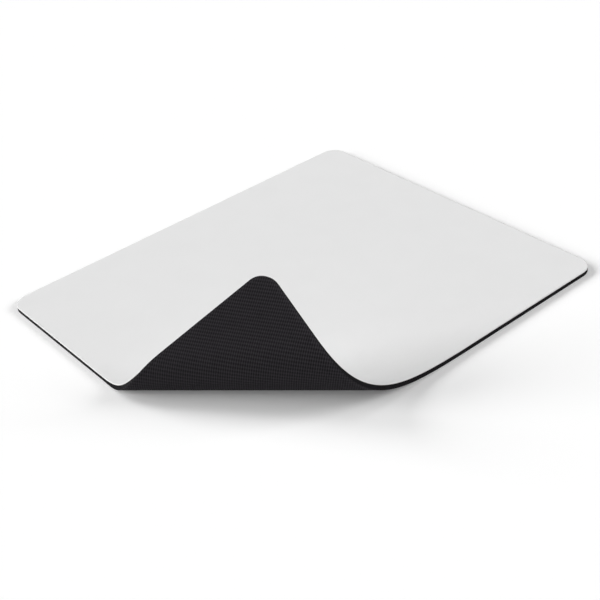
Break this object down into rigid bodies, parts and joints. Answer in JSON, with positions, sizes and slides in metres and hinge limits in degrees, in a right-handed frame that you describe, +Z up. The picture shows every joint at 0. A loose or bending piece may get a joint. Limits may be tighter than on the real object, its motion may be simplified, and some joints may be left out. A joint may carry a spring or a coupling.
{
  "type": "mouse pad",
  "caption": "Thin rectangular desk mouse pad with rounded corners, pale cloth face bonded to a black textured rubber base, one corner curled up and back.",
  "frame": {"origin": "centre of the underside of the pad, on the desk", "axes": "+X along the long side, +Y along the short side, away from the edge next to the curled corner, +Z up through the cloth face"},
  "size_m": [0.2511, 0.2207, 0.0625],
  "materials": {
    "rubber_base": "matt black sponge rubber with a fine pressed-in dot pattern underneath",
    "bond_film": "thin hot-melt film, seen only as a line at the edge",
    "cloth_face": "smooth close-woven polyester cloth, very light grey"
  },
  "bodies": {
    "field": {"rubber_field": "rubber_base", "film_field": "bond_film", "cloth_field": "cloth_face"},
    "fold_01": {"rubber_fold_01": "rubber_base", "film_fold_01": "bond_film", "cloth_fold_01": "cloth_face"},
    "fold_02": {"rubber_fold_02": "rubber_base", "film_fold_02": "bond_film", "cloth_fold_02": "cloth_face"},
    "fold_03": {"rubber_fold_03": "rubber_base", "film_fold_03": "bond_film", "cloth_fold_03": "cloth_face"},
    "fold_04": {"rubber_fold_04": "rubber_base", "film_fold_04": "bond_film", "cloth_fold_04": "cloth_face"},
    "fold_05": {"rubber_fold_05": "rubber_base", "film_fold_05": "bond_film", "cloth_fold_05": "cloth_face"},
    "fold_06": {"rubber_fold_06": "rubber_base", "film_fold_06": "bond_film", "cloth_fold_06": "cloth_face"},
    "fold_07": {"rubber_fold_07": "rubber_base", "film_fold_07": "bond_film", "cloth_fold_07": "cloth_face"},
    "fold_08": {"rubber_fold_08": "rubber_base", "film_fold_08": "bond_film", "cloth_fold_08": "cloth_face"},
    "corner": {"rubber_corner": "rubber_base", "film_corner": "bond_film", "cloth_corner": "cloth_face"}
  },
  "joints": [
    {"name": "corner_curl", "type": "hinge", "parent": "field", "child": "fold_01", "pos_m": [-0.00467, -0.11, 0.003], "axis": [-0.7266, 0.687, 0], "range_deg": [-14.44, 4]},
    {"name": "curl_fold_02", "type": "hinge", "parent": "fold_01", "child": "fold_02", "pos_m": [-0.0247, -0.10968, 0.00648], "axis": [-0.6765, 0.7362, -0.0181], "range_deg": [-14.44, 4]},
    {"name": "curl_fold_03", "type": "hinge", "parent": "fold_02", "child": "fold_03", "pos_m": [-0.03545, -0.10894, 0.01043], "axis": [-0.65, 0.759, -0.0373], "range_deg": [-14.44, 4]},
    {"name": "curl_fold_04", "type": "hinge", "parent": "fold_03", "child": "fold_04", "pos_m": [-0.04282, -0.10771, 0.01473], "axis": [-0.6332, 0.7719, -0.0571], "range_deg": [-14.44, 4]},
    {"name": "curl_fold_05", "type": "hinge", "parent": "fold_04", "child": "fold_05", "pos_m": [-0.04821, -0.10594, 0.01927], "axis": [-0.6223, 0.779, -0.0775], "range_deg": [-14.44, 4]},
    {"name": "curl_fold_06", "type": "hinge", "parent": "fold_05", "child": "fold_06", "pos_m": [-0.05216, -0.10357, 0.02391], "axis": [-0.6156, 0.7818, -0.0988], "range_deg": [-14.44, 4]},
    {"name": "curl_fold_07", "type": "hinge", "parent": "fold_06", "child": "fold_07", "pos_m": [-0.05498, -0.1005, 0.0286], "axis": [-0.6129, 0.7807, -0.1221], "range_deg": [-14.44, 4]},
    {"name": "curl_fold_08", "type": "hinge", "parent": "fold_07", "child": "fold_08", "pos_m": [-0.05683, -0.09653, 0.03333], "axis": [-0.6148, 0.7744, -0.1498], "range_deg": [-14.44, 4]},
    {"name": "curl_fold_09", "type": "hinge", "parent": "fold_08", "child": "corner", "pos_m": [-0.05777, -0.09085, 0.03852], "axis": [-0.6255, 0.7567, -0.1902], "range_deg": [-14.44, 4]}
  ],
  "couplings": [
    {"joint": "curl_fold_02", "follows": "corner_curl", "ratio": 1},
    {"joint": "curl_fold_03", "follows": "corner_curl", "ratio": 1},
    {"joint": "curl_fold_04", "follows": "corner_curl", "ratio": 1},
    {"joint": "curl_fold_05", "follows": "corner_curl", "ratio": 1},
    {"joint": "curl_fold_06", "follows": "corner_curl", "ratio": 1},
    {"joint": "curl_fold_07", "follows": "corner_curl", "ratio": 1},
    {"joint": "curl_fold_08", "follows": "corner_curl", "ratio": 1},
    {"joint": "curl_fold_09", "follows": "corner_curl", "ratio": 1}
  ]
}
